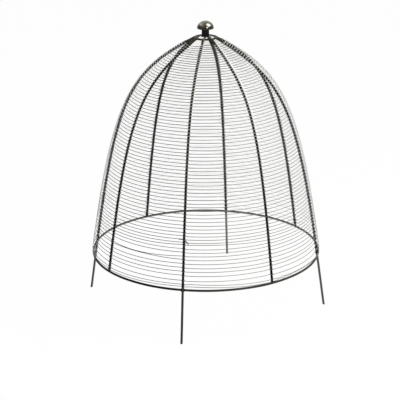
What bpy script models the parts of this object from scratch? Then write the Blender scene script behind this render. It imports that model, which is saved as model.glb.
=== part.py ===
"""Wire plant protector: a dome of welded rods, wound with thin wire, on four push-in legs.

Metres, +Z up. The origin is on the ground at the centre of the dome. The front leg stands
on the -Y axis, and the other three on +X, +Y and -X.
"""

import math

import bmesh
import bpy
from mathutils import Vector

# Overall sizes
OVERALL_HEIGHT = 0.550
FOOT_SPAN = 0.470

# Rings, measured to the middle of the rod
BASE_RING_DIAMETER = 0.436
BASE_RING_HEIGHT = 0.100
CROWN_RING_DIAMETER = 0.040

# Rod and wire thickness
BASE_RING_ROD = 0.0042
CROWN_RING_ROD = 0.0036
CROSS_BAR_ROD = 0.0030
RIB_ROD = 0.0045
LEG_ROD = 0.0045
WIRE = 0.0011

# Shape of a rib: its slope at the crown ring, and how far it holds its direction
# from the crown ring and from the base ring before it bends over
RIB_CROWN_DIP = math.radians(30.5)
RIB_CROWN_PULL = 0.138
RIB_FLANK_PULL = 0.315
RIB_COUNT = 8

# Knob on top of the crown ring
KNOB_CAP_DIAMETER = 0.0315
KNOB_CAP_HEIGHT = 0.0146
KNOB_RIM_HEIGHT = 0.0016
KNOB_RIM_WALL = 0.0022
KNOB_DISH_DEPTH = 0.0015
KNOB_SOCKET_DEPTH = 0.0060
KNOB_NECK_DIAMETER = 0.0142
KNOB_NECK_FOOT_DIAMETER = 0.0152
KNOB_NECK_LENGTH = 0.0151
KNOB_NECK_FOOT_LENGTH = 0.0030

# Infill wire: turns and points per turn in each length from the crown down. The turns
# are spaced from the first one's distance below the crown ring to the last one's above
# the base ring, growing wider towards the foot. The closing turns then draw together
# over the base ring and end at the right rib.
WIRE_LENGTHS = (
    ("infill_wire_crown", 21, 16),
    ("infill_wire_shoulder", 21, 16),
    ("infill_wire_flank", 20, 24),
    ("infill_wire_skirt", 13.25, 24),
)
FIRST_TURN_DROP = 0.017
LAST_TURN_RISE = 0.009
SPACING_GROWTH = 1.35
CLOSING_TURNS = 1.25
CLOSING_END_RISE = 0.0055

# Clearance between pieces that touch
FIT_GAP = 0.0003

# Fineness of the meshes
ROD_SIDES = 8
WIRE_SIDES = 3
RIB_STEPS = 24
BASE_RING_STEPS = 64
CROWN_RING_STEPS = 32
KNOB_STEPS = 32
KNOB_DOME_STEPS = 9
KNOB_FLARE_STEPS = 4
CURVE_SAMPLES = 600
SPLAY_ROUNDS = 8
MERGE_DISTANCE = 0.00001

# Angles past which an edge between faces stays sharp
ROD_CREASE = math.radians(60)
KNOB_CREASE = math.radians(40)
WIRE_CREASE = math.radians(125)

# Sizes that follow from the ones above
BASE_RING_RADIUS = BASE_RING_DIAMETER / 2
CROWN_RING_RADIUS = CROWN_RING_DIAMETER / 2
KNOB_RIM_LEVEL = OVERALL_HEIGHT - KNOB_CAP_HEIGHT
KNOB_NECK_BOTTOM = KNOB_RIM_LEVEL - KNOB_NECK_LENGTH
CROWN_RING_LEVEL = KNOB_NECK_BOTTOM - FIT_GAP - CROSS_BAR_ROD / 2

LEG_NAMES = ("leg_front", "leg_right", "leg_back", "leg_left")
RIB_NAMES = (
    "rib_front", "rib_front_right", "rib_right", "rib_back_right",
    "rib_back", "rib_back_left", "rib_left", "rib_front_left",
)


def clear_scene():
    for item in list(bpy.data.objects):
        bpy.data.objects.remove(item, do_unlink=True)


def finish(name, colour, roughness, metallic):
    """A plain metal or paint with one colour."""
    material = bpy.data.materials.new(name)
    material.use_nodes = True
    shader = material.node_tree.nodes["Principled BSDF"]
    shader.inputs["Base Color"].default_value = (*colour, 1.0)
    shader.inputs["Roughness"].default_value = roughness
    shader.inputs["Metallic"].default_value = metallic
    return material


def add_mesh(name, bm, material, sharp_angle):
    """Close a bmesh into a smooth-shaded mesh whose edges stay sharp past an angle."""
    bmesh.ops.recalc_face_normals(bm, faces=bm.faces)
    mesh = bpy.data.meshes.new(name)
    bm.to_mesh(mesh)
    bm.free()
    mesh.materials.append(material)
    mesh.shade_smooth()
    mesh.set_sharp_from_angle(angle=sharp_angle)
    return mesh


def place(name, mesh, parent, turn=0.0):
    """Stand a mesh in the scene, turned about the dome's axis."""
    item = bpy.data.objects.new(name, mesh)
    bpy.context.scene.collection.objects.link(item)
    item.rotation_euler = (0.0, 0.0, turn)
    item.parent = parent
    return item


def outward(point):
    """Direction away from the dome's axis."""
    return Vector((point.x, point.y, 0.0)).normalized()


def straight_up(_point):
    return Vector((0.0, 0.0, 1.0))


def tangents(path, closed):
    """Direction of a path at each of its points."""
    last = len(path) - 1
    result = []
    for index in range(len(path)):
        before = path[index - 1] if closed or index > 0 else path[0]
        after = path[(index + 1) % len(path)] if closed or index < last else path[last]
        result.append((after - before).normalized())
    return result


def tube(path, thickness, sides, facing=outward, closed=False):
    """Sweep a round section along a path; one corner of the section faces outwards."""
    bm = bmesh.new()
    loops = []
    for point, along in zip(path, tangents(path, closed)):
        aim = facing(point)
        across = (aim - along * aim.dot(along)).normalized()
        side = along.cross(across)
        loop = []
        for corner in range(sides):
            angle = 2 * math.pi * corner / sides
            offset = across * math.cos(angle) + side * math.sin(angle)
            loop.append(bm.verts.new(point + offset * thickness / 2))
        loops.append(loop)
    pairs = list(zip(loops, loops[1:]))
    if closed:
        pairs.append((loops[-1], loops[0]))
    else:
        bm.faces.new(loops[0])
        bm.faces.new(list(reversed(loops[-1])))
    for lower, upper in pairs:
        for corner in range(sides):
            following = (corner + 1) % sides
            bm.faces.new((lower[corner], lower[following], upper[following], upper[corner]))
    return bm


def circle(radius, level, steps):
    """Points of a level ring, the first of them at the front."""
    points = []
    for step in range(steps):
        turn = 2 * math.pi * step / steps
        points.append(Vector((radius * math.sin(turn), -radius * math.cos(turn), level)))
    return points


def turned(profile, steps):
    """Turn a profile of (radius, height) about Z, from its top point to its bottom point."""
    bm = bmesh.new()
    corners = [bm.verts.new((radius, 0.0, level)) for radius, level in profile]
    edges = [bm.edges.new(pair) for pair in zip(corners, corners[1:])]
    bmesh.ops.spin(
        bm, geom=corners + edges, cent=(0, 0, 0), axis=(0, 0, 1),
        angle=2 * math.pi, steps=steps, use_merge=True,
    )
    bmesh.ops.remove_doubles(bm, verts=bm.verts, dist=MERGE_DISTANCE)
    return bm


def leg_foot_radius():
    """Radius of a leg's middle at the ground, so that its outside meets the foot span."""
    radius = FOOT_SPAN / 2 - LEG_ROD / 2
    for _round in range(SPLAY_ROUNDS):
        splay = math.atan2(radius - BASE_RING_RADIUS, BASE_RING_HEIGHT)
        radius = FOOT_SPAN / 2 - LEG_ROD / 2 / math.cos(splay)
    return radius


def leg_direction():
    """Unit vector down a leg, as (outwards, up)."""
    return Vector((leg_foot_radius() - BASE_RING_RADIUS, -BASE_RING_HEIGHT)).normalized()


def rib_line():
    """Middle of a rib as (radius, height) points, from the crown ring to the base ring."""
    crown = Vector((CROWN_RING_RADIUS, CROWN_RING_LEVEL))
    base = Vector((BASE_RING_RADIUS, BASE_RING_HEIGHT))
    dip = Vector((math.cos(RIB_CROWN_DIP), -math.sin(RIB_CROWN_DIP)))
    shoulder = crown + dip * RIB_CROWN_PULL
    flank = base - leg_direction() * RIB_FLANK_PULL
    line = []
    for sample in range(CURVE_SAMPLES + 1):
        t = sample / CURVE_SAMPLES
        u = 1 - t
        line.append(crown * u**3 + shoulder * 3 * u**2 * t + flank * 3 * u * t**2 + base * t**3)
    return line


class Meridian:
    """The line of a rib, looked up by distance along it from the crown ring."""

    def __init__(self):
        self.line = rib_line()
        self.distance = [0.0]
        for before, after in zip(self.line, self.line[1:]):
            self.distance.append(self.distance[-1] + (after - before).length)
        self.length = self.distance[-1]

    def at(self, distance):
        """The point and the outward normal at a distance, both as (outwards, up)."""
        index = 1
        while index < CURVE_SAMPLES and self.distance[index] < distance:
            index += 1
        start, end = self.line[index - 1], self.line[index]
        span = self.distance[index] - self.distance[index - 1]
        share = (distance - self.distance[index - 1]) / span
        along = (end - start).normalized()
        return start.lerp(end, share), Vector((-along.y, along.x))


def make_ring(name, radius, level, rod, steps, material, parent):
    bm = tube(circle(radius, level, steps), rod, ROD_SIDES, closed=True)
    place(name, add_mesh(name, bm, material, ROD_CREASE), parent)


def make_ribs(meridian, material, parent):
    """Eight ribs on one mesh, each butted against both rings."""
    start = CROWN_RING_ROD / 2 + FIT_GAP
    end = meridian.length - BASE_RING_ROD / 2 - FIT_GAP
    path = []
    for step in range(RIB_STEPS + 1):
        point, _normal = meridian.at(start + (end - start) * step / RIB_STEPS)
        path.append(Vector((0.0, -point.x, point.y)))
    bm = tube(path, RIB_ROD, ROD_SIDES)
    mesh = add_mesh("rib", bm, material, ROD_CREASE)
    for index, name in enumerate(RIB_NAMES):
        place(name, mesh, parent, 2 * math.pi * index / RIB_COUNT)


def make_legs(material, parent):
    """Four straight legs under the base ring, cut level with the ground."""
    down = leg_direction()
    top = Vector((BASE_RING_RADIUS, BASE_RING_HEIGHT)) + down * (BASE_RING_ROD / 2 + FIT_GAP)
    path = [Vector((0.0, -top.x, top.y)), Vector((0.0, -leg_foot_radius(), 0.0))]
    bm = tube(path, LEG_ROD, ROD_SIDES)
    along = (path[1] - path[0]).normalized()
    middle = (path[0].z + path[1].z) / 2
    for vertex in bm.verts:
        if vertex.co.z < middle:
            vertex.co -= along * (vertex.co.z / along.z)
    mesh = add_mesh("leg", bm, material, ROD_CREASE)
    for index, name in enumerate(LEG_NAMES):
        place(name, mesh, parent, 2 * math.pi * index / len(LEG_NAMES))


def make_cross_bar(material, parent):
    """A short rod across the crown ring, front to back, under the knob."""
    half = CROWN_RING_RADIUS - CROWN_RING_ROD / 2 - FIT_GAP
    path = [Vector((0.0, -half, CROWN_RING_LEVEL)), Vector((0.0, half, CROWN_RING_LEVEL))]
    bm = tube(path, CROSS_BAR_ROD, ROD_SIDES, facing=straight_up)
    place("cross_bar", add_mesh("cross_bar", bm, material, ROD_CREASE), parent)


def make_knob_neck(material, parent):
    """A waisted post, flared where it stands on the bar, with its top in the cap."""
    waist = KNOB_NECK_DIAMETER / 2
    foot = KNOB_NECK_FOOT_DIAMETER / 2
    top = KNOB_RIM_LEVEL + KNOB_SOCKET_DEPTH - FIT_GAP
    profile = [(0.0, top), (waist, top)]
    for step in range(KNOB_FLARE_STEPS + 1):
        share = step / KNOB_FLARE_STEPS
        radius = waist + (foot - waist) * share**2
        profile.append((radius, KNOB_NECK_BOTTOM + KNOB_NECK_FOOT_LENGTH * (1 - share)))
    profile.append((0.0, KNOB_NECK_BOTTOM))
    mesh = add_mesh("knob_neck", turned(profile, KNOB_STEPS), material, KNOB_CREASE)
    place("knob_neck", mesh, parent)


def make_knob_cap(material, parent):
    """A domed cap with a straight rim, a dished underside and a socket for the neck."""
    outer = KNOB_CAP_DIAMETER / 2
    dome = KNOB_CAP_HEIGHT - KNOB_RIM_HEIGHT
    socket = KNOB_NECK_DIAMETER / 2 + FIT_GAP
    profile = []
    for step in range(KNOB_DOME_STEPS + 1):
        angle = math.pi / 2 * step / KNOB_DOME_STEPS
        level = KNOB_RIM_LEVEL + KNOB_RIM_HEIGHT + dome * math.cos(angle)
        profile.append((outer * math.sin(angle), level))
    profile += [
        (outer, KNOB_RIM_LEVEL),
        (outer - KNOB_RIM_WALL, KNOB_RIM_LEVEL),
        (socket, KNOB_RIM_LEVEL + KNOB_DISH_DEPTH),
        (socket, KNOB_RIM_LEVEL + KNOB_SOCKET_DEPTH),
        (0.0, KNOB_RIM_LEVEL + KNOB_SOCKET_DEPTH),
    ]
    mesh = add_mesh("knob_cap", turned(profile, KNOB_STEPS), material, KNOB_CREASE)
    place("knob_cap", mesh, parent)


def wire_point(meridian, turns, spaced_turns):
    """A point of the wound wire, a number of turns after it starts at the front rib."""
    spaced = min(turns, spaced_turns)
    whole = spaced_turns + (SPACING_GROWTH - 1) * spaced_turns / 2
    share = (spaced + (SPACING_GROWTH - 1) * spaced**2 / (2 * spaced_turns)) / whole
    span = meridian.length - FIRST_TURN_DROP - LAST_TURN_RISE
    closing = (LAST_TURN_RISE - CLOSING_END_RISE) * (turns - spaced) / CLOSING_TURNS
    point, normal = meridian.at(FIRST_TURN_DROP + span * share + closing)
    point = point + normal * (RIB_ROD / 2 + FIT_GAP + WIRE / 2)
    angle = 2 * math.pi * turns
    return Vector((point.x * math.sin(angle), -point.x * math.cos(angle), point.y))


def make_infill_wire(meridian, material, parent):
    """Thin wire wound round the outside of the ribs, in lengths that meet at the front rib."""
    spaced_turns = sum(turns for _name, turns, _points in WIRE_LENGTHS) - CLOSING_TURNS
    first = 0
    least_gap = math.inf
    for name, turns, points in WIRE_LENGTHS:
        trim = FIT_GAP / (2 * math.pi * wire_point(meridian, first, spaced_turns).xy.length)
        path = []
        for step in range(math.ceil(turns * points) + 1):
            at = min(max(step / points, trim), turns - trim)
            path.append(wire_point(meridian, first + at, spaced_turns))
        for before, after in zip(path, path[points:]):
            least_gap = min(least_gap, (after - before).length - WIRE)
        bm = tube(path, WIRE, WIRE_SIDES)
        place(name, add_mesh(name, bm, material, WIRE_CREASE), parent)
        first += turns
    print(f"least gap between turns of the infill wire: {least_gap * 1000:.2f} mm")


def main():
    clear_scene()
    parent = bpy.data.objects.new("plant_protector", None)
    bpy.context.scene.collection.objects.link(parent)
    ring_steel = finish("blackened ring rod", (0.030, 0.030, 0.028), 0.45, 0.6)
    rib_steel = finish("blackened rib rod", (0.022, 0.023, 0.020), 0.45, 0.6)
    leg_steel = finish("grey green leg rod", (0.060, 0.068, 0.055), 0.45, 0.6)
    bar_steel = finish("brazed bar", (0.120, 0.070, 0.035), 0.50, 0.6)
    neck_iron = finish("dark neck iron", (0.015, 0.016, 0.018), 0.40, 0.6)
    cap_pewter = finish("pewter cap", (0.400, 0.390, 0.340), 0.25, 1.0)
    wire_zinc = finish("galvanised wire", (0.350, 0.350, 0.340), 0.35, 1.0)
    meridian = Meridian()
    make_ring("base_ring", BASE_RING_RADIUS, BASE_RING_HEIGHT, BASE_RING_ROD,
              BASE_RING_STEPS, ring_steel, parent)
    make_ring("crown_ring", CROWN_RING_RADIUS, CROWN_RING_LEVEL, CROWN_RING_ROD,
              CROWN_RING_STEPS, ring_steel, parent)
    make_ribs(meridian, rib_steel, parent)
    make_legs(leg_steel, parent)
    make_cross_bar(bar_steel, parent)
    make_knob_neck(neck_iron, parent)
    make_knob_cap(cap_pewter, parent)
    make_infill_wire(meridian, wire_zinc, parent)


main()
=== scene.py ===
"""Looks of the wire plant protector: rods, wound wire, joints, knob and a white studio.

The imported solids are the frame. Every piece here stands where its solid stands, in metres,
with +Z up, the origin on the ground under the knob and the front leg on the -Y axis.
"""

import logging
import math
from collections.abc import Callable, Sequence
from dataclasses import dataclass, replace
from enum import Enum
from functools import cache, partial

import bmesh
import bpy
import numpy as np
from bpy.types import Material, Mesh, NodeSocket, NodeTree, Object, World
from mathutils import Matrix, Vector, noise


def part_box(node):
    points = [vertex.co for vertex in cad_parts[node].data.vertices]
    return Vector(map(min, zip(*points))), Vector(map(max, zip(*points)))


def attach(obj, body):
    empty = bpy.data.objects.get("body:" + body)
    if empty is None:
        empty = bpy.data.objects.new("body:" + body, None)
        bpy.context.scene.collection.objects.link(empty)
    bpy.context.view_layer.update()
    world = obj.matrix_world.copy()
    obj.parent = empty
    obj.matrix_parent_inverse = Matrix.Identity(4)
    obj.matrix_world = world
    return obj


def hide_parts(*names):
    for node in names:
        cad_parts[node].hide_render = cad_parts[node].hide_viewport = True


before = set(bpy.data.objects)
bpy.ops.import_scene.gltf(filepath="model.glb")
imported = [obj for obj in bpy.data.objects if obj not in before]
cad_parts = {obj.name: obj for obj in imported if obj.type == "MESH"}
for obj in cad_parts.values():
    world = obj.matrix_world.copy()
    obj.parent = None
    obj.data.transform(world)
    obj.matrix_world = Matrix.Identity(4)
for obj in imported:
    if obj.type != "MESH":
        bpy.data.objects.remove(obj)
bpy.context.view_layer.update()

LOG = logging.getLogger("plant_protector")

BODY = "root"
MILLIMETRE = 0.001
GROUND = 0.0
RIGHT = Vector((1.0, 0.0, 0.0))
WHITE = "#ffffff"
# Attribute that marks the crest of each wrap, where the wire's finish paints a highlight.
TOP_PASS = "top_pass"
MATH = "ShaderNodeMath"
VECTOR = "ShaderNodeVectorMath"

RIB_NAMES = (
    "rib_front", "rib_front_right", "rib_right", "rib_back_right",
    "rib_back", "rib_back_left", "rib_left", "rib_front_left",
)
LEG_NAMES = ("leg_front", "leg_right", "leg_back", "leg_left")

Add = Callable[..., NodeSocket]
Profile = list[tuple[float, float]]


class Slot(Enum):
    """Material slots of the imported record."""

    RING = "ring_rod"
    RIB = "rib_rod"
    LEG = "leg_rod"
    BAR = "brazed_bar"
    NECK = "neck_iron"
    CAP = "cap_pewter"
    WIRE = "infill_wire"


class Kind(Enum):
    """Kinds of input that a geometry tree takes."""

    GEOMETRY = "NodeSocketGeometry"
    LENGTH = "NodeSocketFloat"
    COUNT = "NodeSocketInt"
    MATERIAL = "NodeSocketMaterial"
    OBJECT = "NodeSocketObject"


class Use(Enum):
    """The ways in which node types are used here.

    Each gives the type, its operation or settings, the inputs that values go to, in order,
    and the output that is taken.
    """

    ADD = MATH, "ADD"
    SUBTRACT = MATH, "SUBTRACT"
    REMAINDER = MATH, {"operation": "SUBTRACT", "use_clamp": True}
    MULTIPLY = MATH, "MULTIPLY"
    MULTIPLY_ADD = MATH, "MULTIPLY_ADD"
    DIVIDE = MATH, "DIVIDE"
    SHARE = MATH, {"operation": "DIVIDE", "use_clamp": True}
    MINIMUM = MATH, "MINIMUM"
    MAXIMUM = MATH, "MAXIMUM"
    MORE_THAN = MATH, "GREATER_THAN"
    LESS_THAN = MATH, "LESS_THAN"
    FLOOR = MATH, "FLOOR"
    PINGPONG = MATH, "PINGPONG"
    SINE = MATH, "SINE"
    COSINE = MATH, "COSINE"
    BEARING = MATH, "ARCTAN2"
    RANGE = "ShaderNodeMapRange", {}, (0, 1, 2, 3, 4)
    SOFT_RANGE = "ShaderNodeMapRange", {"interpolation_type": "SMOOTHSTEP"}, (0, 1, 2, 3, 4)
    BLEND = "ShaderNodeMix", {}, (0, 2, 3)
    TINT = "ShaderNodeMix", {"data_type": "RGBA"}, (0, 6, 7), 2
    NOISE = "ShaderNodeTexNoise", {"noise_dimensions": "4D"}, (
        "Vector", "W", "Scale", "Detail", "Roughness")
    DRIFT = "ShaderNodeTexNoise", {"noise_dimensions": "1D"}, ("W", "Scale", "Detail")

    VECTOR_ADD = VECTOR, "ADD"
    VECTOR_SUBTRACT = VECTOR, "SUBTRACT"
    VECTOR_MULTIPLY = VECTOR, "MULTIPLY"
    CROSS = VECTOR, "CROSS_PRODUCT"
    UNIT = VECTOR, "NORMALIZE"
    SCALE = VECTOR, "SCALE", (0, "Scale")
    DOT = VECTOR, "DOT_PRODUCT", (0, 1), "Value"
    SIZE = VECTOR, "LENGTH", (0,), "Value"
    TURN = "ShaderNodeVectorRotate", {"rotation_type": "Z_AXIS"}, ("Vector", "Angle")
    SPLIT = "ShaderNodeSeparateXYZ"
    COMBINE = "ShaderNodeCombineXYZ"

    GIVEN = "NodeGroupInput"
    RESULT = "NodeGroupOutput"
    INDEX = "GeometryNodeInputIndex"
    POSITION = "GeometryNodeInputPosition"
    NORMAL = "GeometryNodeInputNormal"
    RANDOM = "FunctionNodeRandomValue", {}, (2, 3, "ID", "Seed"), 1
    RANDOM_VECTOR = "FunctionNodeRandomValue", {"data_type": "FLOAT_VECTOR"}, (0, 1, "ID", "Seed")
    ROTATION = "FunctionNodeEulerToRotation"
    ROW = "GeometryNodeMeshLine", {}, ("Count",)
    TO_CURVE = "GeometryNodeMeshToCurve"
    CURVE_LENGTH = "GeometryNodeCurveLength"
    SAMPLE = "GeometryNodeSampleCurve", {"mode": "LENGTH"}, ("Curves", "Length"), "Position"
    CIRCLE = "GeometryNodeCurvePrimitiveCircle", {}, ("Resolution", "Radius")
    SWEEP = "GeometryNodeCurveToMesh", {}, ("Curve", "Profile Curve", "Fill Caps")
    PLACE = "GeometryNodeSetPosition", {}, ("Geometry", "Position")
    SHIFT = "GeometryNodeSetPosition", {}, ("Geometry", "Offset")
    MARK = "GeometryNodeStoreNamedAttribute", {}, ("Geometry", "Name", "Value")
    PATTERN = "GeometryNodeObjectInfo", {}, ("Object",), "Geometry"
    SET_ROUND = "GeometryNodeInstanceOnPoints", {}, ("Points", "Instance", "Rotation", "Scale")
    SMOOTH = "GeometryNodeSetShadeSmooth"
    REALIZE = "GeometryNodeRealizeInstances"
    DRESS = "GeometryNodeSetMaterial", {}, ("Geometry", "Material")

    ON_OBJECT = "ShaderNodeTexCoord", {}, (), "Object"
    HEADING = "ShaderNodeTexCoord", {}, (), "Generated"
    TOP_PASS = "ShaderNodeAttribute", {"attribute_name": TOP_PASS}, (), "Fac"
    RAYS = "ShaderNodeLightPath"
    BUMP = "ShaderNodeBump", {}, ("Height", "Strength", "Distance")
    SHADER = "ShaderNodeBsdfPrincipled", {}, (
        "Base Color", "Roughness", "Metallic", "Specular IOR Level", "Normal")
    MATT = "ShaderNodeBsdfDiffuse"
    GLOW = "ShaderNodeEmission"
    BOTH = "ShaderNodeMixShader"
    SKY = "ShaderNodeBackground"
    SURFACE = "ShaderNodeOutputMaterial"
    SURROUND = "ShaderNodeOutputWorld"

    def __init__(
        self, type_name: str, settings: str | dict[str, object] | None = None,
        sockets: tuple[int | str, ...] = (0, 1, 2), output: int | str = 0,
    ) -> None:
        """Keep what the value says.

        Args:
            type_name: Blender's name for the node type.
            settings: Its operation, or else its properties by name.
            sockets: Inputs that values go to, in order.
            output: Output that is taken.
        """
        self.type_name, self.sockets, self.output = type_name, sockets, output
        self.settings = {"operation": settings} if isinstance(settings, str) else settings or {}


def add_node(tree: NodeTree, use: Use, *values: object) -> NodeSocket | None:
    """Add a node to a tree, with its settings and links.

    Args:
        tree: Shader or geometry tree that gets the node.
        use: The node type and how it is used.
        *values: Values, or sockets to link from, for its inputs in order.

    Returns:
        The output that this use takes, or nothing where the node has none.
    """
    node = tree.nodes.new(use.type_name)
    for name, value in use.settings.items():
        setattr(node, name, value)
    for key, value in zip(use.sockets, values):
        if isinstance(value, NodeSocket):
            tree.links.new(value, node.inputs[key])
        else:
            node.inputs[key].default_value = value
    return node.outputs[use.output] if node.outputs else None


def empty_tree(owner: Material | World) -> Add:
    """Clear the node tree of a material or world, and return what adds a node to it."""
    owner.use_nodes = True
    owner.node_tree.nodes.clear()
    return partial(add_node, owner.node_tree)


def srgb(code: str) -> tuple[float, float, float, float]:
    """Turn an sRGB hex colour into the linear colour that a shader takes.

    Args:
        code: Colour as "#rrggbb".

    Returns:
        Red, green, blue and alpha, linear.
    """
    channels = [int(code[place:place + 2], 16) / 255 for place in (1, 3, 5)]
    linear = [c / 12.92 if c <= 0.04045 else ((c + 0.055) / 1.055) ** 2.4 for c in channels]
    return (*linear, 1.0)


class Grower:
    """A geometry tree with named inputs that turns the mesh of a piece into its finished one."""

    def __init__(self, name: str, inputs: dict[Kind, Sequence[str]]) -> None:
        """Start the tree.

        Args:
            name: Name of the tree.
            inputs: Names of its inputs besides the geometry, by kind.
        """
        self.tree = bpy.data.node_groups.new(name, "GeometryNodeTree")
        new_socket = self.tree.interface.new_socket
        for kind, labels in {Kind.GEOMETRY: ("geometry",), **inputs}.items():
            for label in labels:
                new_socket(label, in_out="INPUT", socket_type=kind.value)
        new_socket("geometry", in_out="OUTPUT", socket_type=Kind.GEOMETRY.value)
        self.add: Add = partial(add_node, self.tree)
        self.given = self.add(Use.GIVEN).node.outputs

    def close(self, made: NodeSocket) -> "Grower":
        """End the tree: smooth shading, real geometry, then its material.

        Args:
            made: Socket that carries the geometry.

        Returns:
            The same grower, ready to run.
        """
        real = self.add(Use.REALIZE, self.add(Use.SMOOTH, made))
        self.add(Use.RESULT, self.add(Use.DRESS, real, self.given["finish"]))
        return self

    def grow(self, piece: Object, values: dict[str, object], crease: float) -> None:
        """Run the tree on a piece and keep the result as its plain mesh.

        Args:
            piece: Object whose mesh the tree starts from.
            values: Values by input name, among others that the tree doesn't take.
            crease: Angle past which an edge between faces stays sharp.
        """
        modifier = piece.modifiers.new(self.tree.name, "NODES")
        modifier.node_group = self.tree
        for socket in self.tree.interface.items_tree:
            if socket.in_out == "INPUT" and socket.name in values:
                modifier[socket.identifier] = values[socket.name]
        graph = bpy.context.evaluated_depsgraph_get()
        mesh = bpy.data.meshes.new_from_object(piece.evaluated_get(graph), depsgraph=graph)
        piece.modifiers.remove(modifier)
        start, piece.data = piece.data, mesh
        bpy.data.meshes.remove(start)
        mesh.name = piece.name
        mesh.set_sharp_from_angle(angle=crease)


def put_in_scene(name: str, content: bpy.types.ID) -> Object:
    """Stand a mesh, lamp or camera at the origin of the scene, and return its object."""
    item = bpy.data.objects.new(name, content)
    bpy.context.scene.collection.objects.link(item)
    return item


def chain(name: str, paths: Sequence[Sequence[Vector]], closed: bool = False) -> Object:
    """Make a piece of edges that follow paths, for a tree to grow rods on.

    Args:
        name: Name of the piece.
        paths: Paths, each with its points in order.
        closed: Whether the last point of a path joins its first.

    Returns:
        The piece, at the origin.
    """
    points: list[Vector] = []
    edges: list[tuple[int, int]] = []
    for path in paths:
        first = len(points)
        points.extend(path)
        edges.extend((index, index + 1) for index in range(first, len(points) - 1))
        if closed:
            edges.append((len(points) - 1, first))
    mesh = bpy.data.meshes.new(name)
    mesh.from_pydata([tuple(point) for point in points], edges, [])
    return put_in_scene(name, mesh)


def keep(bm: bmesh.types.BMesh, name: str) -> Mesh:
    """Keep an edited mesh as plain data under a name."""
    mesh = bpy.data.meshes.new(name)
    bm.to_mesh(mesh)
    bm.free()
    return mesh


def fit(piece: Object, slot: Slot, *nodes: str) -> None:
    """Make a finished piece ride with the object and stand for its solids.

    Args:
        piece: Finished piece, at the origin.
        slot: Record slot of the piece; not used.
        *nodes: Solids that it stands for.
    """
    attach(piece, BODY)
    if nodes:
        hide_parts(*nodes)
    triangles = sum(len(face.vertices) - 2 for face in piece.data.polygons)
    LOG.info("%s: %d triangles, stands for %s", piece.name, triangles, nodes or "no solid")


def along(corners: Sequence[Vector], share: float) -> Vector:
    """Point of a smooth path through corners, at a share of its way.

    Args:
        corners: Corners of the path, in order.
        share: 0 at the first corner and 1 at the last.

    Returns:
        The point.
    """
    spans = len(corners) - 1
    index = min(int(share * spans), spans - 1)
    part = share * spans - index
    before, start = corners[max(index - 1, 0)], corners[index]
    end, after = corners[index + 1], corners[min(index + 2, spans)]
    leave, arrive = (end - before) / 2, (after - start) / 2
    square, cube = part**2, part**3
    return (
        start * (2 * cube - 3 * square + 1) + leave * (cube - 2 * square + part)
        + end * (3 * square - 2 * cube) + arrive * (cube - square)
    )


def turn(point: Vector, angle: float) -> Vector:
    """Turn a point of the front plane about the dome's axis."""
    return Matrix.Rotation(angle, 3, "Z") @ point


def ease(share: float) -> float:
    """Smooth step from 0 to 1 over a share that may lie outside them."""
    held = min(1.0, max(0.0, share))
    return held * held * (3 - 2 * held)


@dataclass(frozen=True)
class Measures:
    """Sizes that the sub-assemblies share, in metres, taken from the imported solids.

    Radii and levels are to the middle of a rod. The splay is a leg's angle to the upright.
    """

    ring_radius: float
    ring_level: float
    ring_rod: float
    crown_radius: float
    crown_level: float
    crown_rod: float
    rib_rod: float
    leg_rod: float
    bar_rod: float
    splay: float
    wire: float = 1.1 * MILLIMETRE

    @classmethod
    def from_frame(cls) -> "Measures":
        """Read the sizes from the corners of the solids' boxes.

        Returns:
            The sizes.
        """
        ring_low, ring_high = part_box("base_ring")
        crown_low, crown_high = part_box("crown_ring")
        rib_low, rib_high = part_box("rib_front")
        leg_low, leg_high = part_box("leg_front")
        bar_low, bar_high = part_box("cross_bar")
        ring_rod, crown_rod = ring_high.z - ring_low.z, crown_high.z - crown_low.z
        leg_rod = leg_high.x - leg_low.x
        ring_radius = ring_high.x - ring_rod / 2
        ring_level = (ring_high.z + ring_low.z) / 2
        rough_splay = math.atan2(-leg_low.y - leg_rod / 2 - ring_radius, ring_level)
        foot_radius = -leg_low.y - leg_rod / 2 / math.cos(rough_splay)
        return cls(
            ring_radius, ring_level, ring_rod,
            crown_radius=crown_high.x - crown_rod / 2,
            crown_level=(crown_high.z + crown_low.z) / 2,
            crown_rod=crown_rod,
            rib_rod=rib_high.x - rib_low.x,
            leg_rod=leg_rod,
            bar_rod=bar_high.x - bar_low.x,
            splay=math.atan2(foot_radius - ring_radius, ring_level),
        )


class RibLine:
    """Middle of a rib in the front plane, looked up by distance from the crown ring.

    The line is one smooth bend: it leaves the crown ring at CROWN_DIP below the level and
    reaches the base ring in line with the legs. The two pulls say how far it keeps each
    direction before it bends over.
    """

    CROWN_DIP = math.radians(30.5)
    CROWN_PULL = 0.138
    FLANK_PULL = 0.315
    SAMPLES = 600

    def __init__(self, sizes: Measures) -> None:
        """Draw the line between the two rings.

        Args:
            sizes: Shared sizes.
        """
        crown = np.array((sizes.crown_radius, sizes.crown_level))
        base = np.array((sizes.ring_radius, sizes.ring_level))
        dip = np.array((math.cos(self.CROWN_DIP), -math.sin(self.CROWN_DIP)))
        down = np.array((math.sin(sizes.splay), -math.cos(sizes.splay)))
        shoulder = crown + dip * self.CROWN_PULL
        flank = base - down * self.FLANK_PULL
        t = np.linspace(0.0, 1.0, self.SAMPLES + 1)[:, None]
        u = 1 - t
        self.line = crown * u**3 + shoulder * 3 * u**2 * t + flank * 3 * u * t**2 + base * t**3
        steps = np.linalg.norm(np.diff(self.line, axis=0), axis=1)
        self.distance = np.concatenate(((0.0,), np.cumsum(steps)))
        self.length = float(self.distance[-1])

    def at(self, distance: float) -> Vector:
        """Point of the front rib's middle at a distance from the crown ring."""
        radius, level = (np.interp(distance, self.distance, axis) for axis in self.line.T)
        return Vector((0.0, -radius, level))

    def stretch(self, start: float, end: float, steps: int) -> list[Vector]:
        """Evenly spaced points of the front rib's middle between two distances."""
        return [self.at(start + (end - start) * step / steps) for step in range(steps + 1)]


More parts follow.
